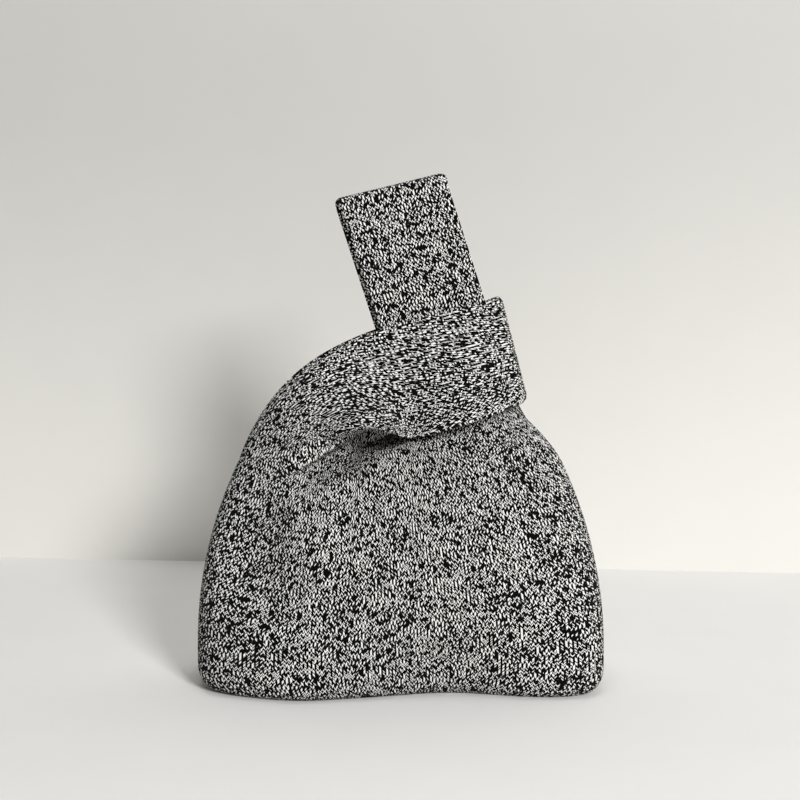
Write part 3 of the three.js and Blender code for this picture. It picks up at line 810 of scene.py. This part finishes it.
def sizes(context):
    """The sizes of the bag and of its knit."""
    return context.scene.knot_bag, context.scene.knot_bag_knit


def finish_knit(piece, knit, nodes):
    """Gives a piece its yarn and hides the solids that it stands for."""
    piece.data.materials.append(marl_knit_material(knit))
    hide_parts(*nodes)


def yarn_ridge(name, path, upward=(0.0, 1.0, 0.0), closed=False):
    """A seam's linking yarn along a path: two plies that wind round each other once in 3.5 mm."""
    radius = 0.0008
    winding = 0.0035
    steps = 8
    sides = 6
    ends = np.concatenate([path, path[:1]]) if closed else path
    run = run_along(ends)
    count = steps * round(run[-1] / winding)
    line = read_line(ends, run, np.linspace(0.0, run[-1], count + 1))
    ahead = unit(np.gradient(line, axis=0))
    aside = unit(np.cross(ahead, upward))
    above = np.cross(aside, ahead)
    if closed:
        line, aside, above = line[:-1], aside[:-1], above[:-1]
    around = np.arange(sides) * 2 * math.pi / sides
    vertices = []
    faces = []
    for ply in (0.0, math.pi):
        phase = (np.arange(len(line)) * 2 * math.pi / steps + ply)[:, None]
        centre = line + radius / 2 * (np.cos(phase) * aside + np.sin(phase) * above)
        ring = np.cos(around)[:, None] * aside[:, None] + np.sin(around)[:, None] * above[:, None]
        first = len(vertices)
        vertices += list((centre[:, None] + radius / 2 * ring).reshape(-1, 3))
        for i in range(len(line) if closed else len(line) - 1):
            a = first + i * sides
            b = first + (i + 1) % len(line) * sides
            for k in range(sides):
                faces.append((a + k, a + (k + 1) % sides, b + (k + 1) % sides, b + k))
        if not closed:
            faces.append(tuple(first + k for k in reversed(range(sides))))
            faces.append(tuple(len(vertices) - sides + k for k in range(sides)))
    mesh = bpy.data.meshes.new(name)
    mesh.from_pydata(vertices, [], faces)
    piece = add_piece(name, mesh)
    piece.data.materials.append(linking_yarn_material())
    return piece


def linking_yarn_material():
    """The linking yarn of the seams: matt charcoal acrylic with fibres about 0.3 mm apart."""
    material = bpy.data.materials.get("acrylic_linking_yarn")
    if material:
        return material
    material = bpy.data.materials.new("acrylic_linking_yarn")
    tree = empty_tree(material)
    place = add_node(tree, "ShaderNodeTexCoord").outputs["Object"]
    fibre = add_node(tree, "ShaderNodeTexNoise", {"Vector": place, "Scale": 3000.0, "Detail": 2.0}).outputs[0]
    plies = {"Factor": fibre, "A": (*linear("#1d1d1d"), 1.0), "B": (*linear("#6b6a68"), 1.0)}
    colour = add_node(tree, "ShaderNodeMix", plies, data_type="RGBA").outputs["Result"]
    shader = add_node(tree, "ShaderNodeBsdfPrincipled", {"Base Color": colour, "Roughness": 0.95})
    add_node(tree, "ShaderNodeOutputMaterial", {"Surface": shader.outputs["BSDF"]})
    return material


class KNOTBAG_OT_pouch(bpy.types.Operator):
    """Makes the front and back panels and the base"""

    bl_idname = "knot_bag.pouch"
    bl_label = "Pouch"

    def execute(self, context):
        bag, knit = sizes(context)
        grid = panel_grid(bag, knit)
        courses = panel_courses(bag, knit)
        for side in ("front", "back"):
            name = side + "_panel_knit"
            piece = knit_piece(name, grid, knit.wales, courses, knit, "lrb", mirrored=side == "back")
            finish_knit(piece, knit, [side + "_panel"])
            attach(piece, "bag_body")
        surface, wales, courses = base_grid(bag, knit)
        piece = knit_piece("base_knit", surface, wales, courses, knit, "lrbt")
        finish_knit(piece, knit, ["base_panel"])
        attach(piece, "bag_body")
        return {"FINISHED"}


class KNOTBAG_OT_short_loop(bpy.types.Operator):
    """Makes the left arms and the short loop that they end in"""

    bl_idname = "knot_bag.short_loop"
    bl_label = "Short loop"

    def execute(self, context):
        bag, knit = sizes(context)
        grid, wales, courses = loop_grid(bag, knit)
        start = strap_spot(bag, -BLEND_START, 0.0)
        end = strap_spot(bag, -bag.loop_left - BLEND_ROOM, 0.0)
        last = round(bag.strap_width / knit.wale_pitch)
        for side in ("front", "back"):
            name = "short_loop_knit_" + side
            piece = knit_piece(name, grid, wales, courses, knit, "lrt", last, mirrored=side == "back")
            nodes = ["left_arm_" + side, "short_loop_" + side]
            finish_knit(piece, knit, nodes)
            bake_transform(piece)
        return {"FINISHED"}


class KNOTBAG_OT_long_handle(bpy.types.Operator):
    """Makes the right arms and the long handle that runs up through the loop"""

    bl_idname = "knot_bag.long_handle"
    bl_label = "Long handle"

    def execute(self, context):
        bag, knit = sizes(context)
        grid, wales, courses = gather_grid(bag, knit)
        for side in ("front", "back"):
            name = "right_arm_knit_" + side
            piece = knit_piece(name, grid, wales, courses, knit, mirrored=side == "back")
            finish_knit(piece, knit, ["right_arm_" + side])
            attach(piece, "bag_body")
        front, wales, courses = handle_grid(bag, knit, 0.0)
        rear, _, _ = handle_grid(bag, knit, bag.handle_slip)
        bend = bag.strap_width / 2 + bag.loop_travel + LOOP_ROOM
        start = strap_spot(bag, 0.0, bend)
        end = strap_spot(bag, 0.0, bend + bag.bend_length)
        for side, surface in (("front", front), ("back", rear)):
            name = "long_handle_knit_" + side
            piece = knit_piece(name, surface, wales, courses, knit, "lrt", mirrored=side == "back")
            nodes = ["handle_bend_" + side, "long_handle_" + side]
            finish_knit(piece, knit, nodes)
            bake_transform(piece)
        return {"FINISHED"}


class KNOTBAG_OT_seams(bpy.types.Operator):
    """Lays the linking yarn of the seams on the inside of the knit"""

    bl_idname = "knot_bag.seams"
    bl_label = "Seams"

    def execute(self, context):
        bag, knit = sizes(context)
        panel = panel_grid(bag, knit)
        half = bag.strap_width / 2
        inside = knit.thickness / 2 + SEAM_ROOM

        edge = panel[0] * BASE_SEAM + [0.0, 0.0, knit.thickness + SEAM_ROOM]
        outline = np.concatenate([edge, edge[-2:0:-1] * [1.0, -1.0, 1.0]])
        piece = yarn_ridge("base_seam_yarn", outline, (0.0, 0.0, 1.0), closed=True)
        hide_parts("base_seam")
        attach(piece, "bag_body")

        for side, column, inward in (("left", 0, 1.0), ("right", -1, -1.0)):
            line = panel[SIDE_SEAM_ROWS, column] * [1.0, 0.0, 1.0]
            heading = unit(np.gradient(line, axis=0))
            line = line + inside * inward * heading[:, [2, 1, 0]] * [1.0, 0.0, -1.0]
            piece = yarn_ridge(side + "_side_seam_yarn", line)
            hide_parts(side + "_side_seam")
            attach(piece, "bag_body")

        r = np.linspace(LOOP_SEAM_ENDS[0] - half, half - LOOP_SEAM_ENDS[1], SEAM_POINTS)
        reach = half + bag.loop_fold + bag.loop_skew * r / half - inside
        piece = yarn_ridge("short_loop_seam_yarn", strap_point(bag, reach, 0.0, r))
        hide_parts("short_loop_seam")
        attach(piece, "short_loop")

        left, right = HANDLE_SEAM_ENDS
        s = np.linspace(HANDLE_TRIM + left - half, half - right, SEAM_POINTS)
        top = bag.handle_reach - bag.handle_skew * s / bag.strap_width - knit.thickness / 2 - inside
        piece = yarn_ridge("long_handle_seam_yarn", strap_point(bag, s, 0.0, top))
        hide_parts("long_handle_seam")
        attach(piece, "long_handle")
        return {"FINISHED"}


# The stage
PLANE_SIZE = 6.0
WALL_MIDDLE = 2.9  # height, with the foot below the floor
WALL_TURN = math.radians(-5.5)
BOUNCE_LIGHT_HEIGHT = 0.34  # where the painted bounce light on the wall reaches its upper tone
LAMP_TARGET = (0.0, 0.0, 0.12)


def matt_paint(name, colour, low=1.0, high=1.0):
    """Matt emulsion with a faint roller mottle about 40 mm wide, whose tone goes from low at the floor
    to high above it, a painted light that stands for light bounced off the floor. Its rear can be seen
    through."""
    material = bpy.data.materials.new(name)
    tree = empty_tree(material)
    place = add_node(tree, "ShaderNodeTexCoord").outputs["Object"]
    mottle = add_node(tree, "ShaderNodeTexNoise", {"Vector": place, "Scale": 25.0, "Detail": 2.0}).outputs[0]
    limits = {"Value": mottle, "To Min": 0.985, "To Max": 1.015}
    tone = add_node(tree, "ShaderNodeMapRange", limits).outputs[0]
    geometry = add_node(tree, "ShaderNodeNewGeometry").outputs
    height = add_node(tree, "ShaderNodeSeparateXYZ", {"Vector": geometry["Position"]}).outputs["Z"]
    # Painted light: the tone runs from low at the floor to high up the wall, for light bounced off the floor.
    limits = {"Value": height, "From Max": BOUNCE_LIGHT_HEIGHT, "To Min": low, "To Max": high}
    painted_bounce_light = add_node(tree, "ShaderNodeMapRange", limits, interpolation_type="SMOOTHSTEP").outputs[0]
    level = add_node(tree, "ShaderNodeMath", {0: tone, 1: painted_bounce_light}, operation="MULTIPLY").outputs[0]
    mixed = add_node(tree, "ShaderNodeVectorMath", {0: tuple(colour), "Scale": level}, operation="SCALE")
    look = {"Base Color": mixed.outputs[0], "Roughness": 0.9, "Specular IOR Level": 0.1}
    shader = add_node(tree, "ShaderNodeBsdfPrincipled", look)
    clear = add_node(tree, "ShaderNodeBsdfTransparent")
    sides = {0: geometry["Backfacing"], 1: shader.outputs[0], 2: clear.outputs[0]}
    surface = add_node(tree, "ShaderNodeMixShader", sides)
    add_node(tree, "ShaderNodeOutputMaterial", {"Surface": surface.outputs[0]})
    return material


class KNOTBAG_OT_stage(bpy.types.Operator):
    """Makes the floor, the wall, the light and the camera"""

    bl_idname = "knot_bag.stage"
    bl_label = "Stage"

    def execute(self, context):
        stage = context.scene.knot_bag_stage
        bpy.ops.mesh.primitive_plane_add(size=PLANE_SIZE, location=(0.0, 0.0, 0.0))
        floor = context.object
        floor.name = "floor"
        floor.data.materials.append(matt_paint("matt_floor_paint", stage.floor_colour))
        bpy.ops.mesh.primitive_plane_add(
            size=PLANE_SIZE,
            location=(0.0, stage.wall_distance, WALL_MIDDLE),
            rotation=(math.pi / 2, 0.0, WALL_TURN),
        )
        wall = context.object
        wall.name = "wall"
        # Painted light: the wall's paint is 24% paler at the floor and 11% darker high up, for light bounced
        # off the floor.
        paint = matt_paint("matt_wall_paint", stage.wall_colour, low=1.24, high=0.89)
        wall.data.materials.append(paint)

        add_softbox("window_light", (0.66, -1.68, 0.95), width=0.40, height=0.45, power=31.0)
        add_softbox("ceiling_light", (0.0, -0.40, 2.2), width=1.0, height=1.0, power=9.0)
        context.scene.world = pale_room()

        target = (0.0, 0.0, 0.141)
        distance = 0.92
        lift = math.radians(7.0)
        place = (0.0, -distance * math.cos(lift), target[2] + distance * math.sin(lift))
        bpy.ops.object.camera_add(location=place)
        camera = context.object
        camera.name = "photo_camera"
        camera.data.sensor_width = 36.0
        camera.data.lens = 84.0
        aim(camera, target)
        context.scene.camera = camera
        context.scene.view_settings.view_transform = "Standard"
        return {"FINISHED"}


def pale_room():
    """A room that looks pale past the floor and the wall, and lights the bag a little."""
    world = bpy.data.worlds.new("room")
    tree = empty_tree(world)
    ray = add_node(tree, "ShaderNodeLightPath").outputs
    mirrored = {0: ray["Is Glossy Ray"], 1: ray["Is Transmission Ray"]}
    shiny = add_node(tree, "ShaderNodeMath", mirrored, operation="MAXIMUM").outputs[0]
    direct = {0: ray["Is Camera Ray"], 1: shiny}
    seen = add_node(tree, "ShaderNodeMath", direct, operation="MAXIMUM").outputs[0]
    limits = {"Value": seen, "To Min": 0.06, "To Max": 0.72}
    strength = add_node(tree, "ShaderNodeMapRange", limits).outputs[0]
    light = {"Color": (*linear("#f3f4f6"), 1.0), "Strength": strength}
    room = add_node(tree, "ShaderNodeBackground", light)
    add_node(tree, "ShaderNodeOutputWorld", {"Surface": room.outputs[0]})
    return world


def add_softbox(name, place, width, height, power):
    """A soft light, in metres and watts, that looks at the bag."""
    bpy.ops.object.light_add(type="AREA", location=place)
    lamp = bpy.context.object
    lamp.name = name
    lamp.data.shape = "RECTANGLE"
    lamp.data.size = width
    lamp.data.size_y = height
    lamp.data.energy = power
    aim(lamp, LAMP_TARGET)


def aim(thing, target):
    """Turns a lamp or camera to look at a point."""
    way = Vector(target) - thing.location
    thing.rotation_euler = way.to_track_quat("-Z", "Y").to_euler()


class KNOTBAG_PT_panel(bpy.types.Panel):
    """Lists the bag's pieces and its stage"""

    bl_label = "Knot bag"
    bl_idname = "KNOTBAG_PT_panel"
    bl_space_type = "VIEW_3D"
    bl_region_type = "UI"
    bl_category = "Knot bag"

    def draw(self, context):
        for operator in STEPS:
            self.layout.operator(operator.bl_idname)


STEPS = (
    KNOTBAG_OT_pouch,
    KNOTBAG_OT_short_loop,
    KNOTBAG_OT_long_handle,
    KNOTBAG_OT_seams,
    KNOTBAG_OT_stage,
)
CLASSES = (KnotBagShape, KnotBagKnit, KnotBagStage, *STEPS, KNOTBAG_PT_panel)


def register():
    for cls in CLASSES:
        bpy.utils.register_class(cls)
    bpy.types.Scene.knot_bag = bpy.props.PointerProperty(type=KnotBagShape)
    bpy.types.Scene.knot_bag_knit = bpy.props.PointerProperty(type=KnotBagKnit)
    bpy.types.Scene.knot_bag_stage = bpy.props.PointerProperty(type=KnotBagStage)


def unregister():
    del bpy.types.Scene.knot_bag_stage
    del bpy.types.Scene.knot_bag_knit
    del bpy.types.Scene.knot_bag
    for cls in reversed(CLASSES):
        bpy.utils.unregister_class(cls)


def main():
    register()
    bpy.ops.knot_bag.pouch()
    bpy.ops.knot_bag.short_loop()
    bpy.ops.knot_bag.long_handle()
    bpy.ops.knot_bag.seams()
    bpy.ops.knot_bag.stage()


if __name__ == "__main__":
    main()
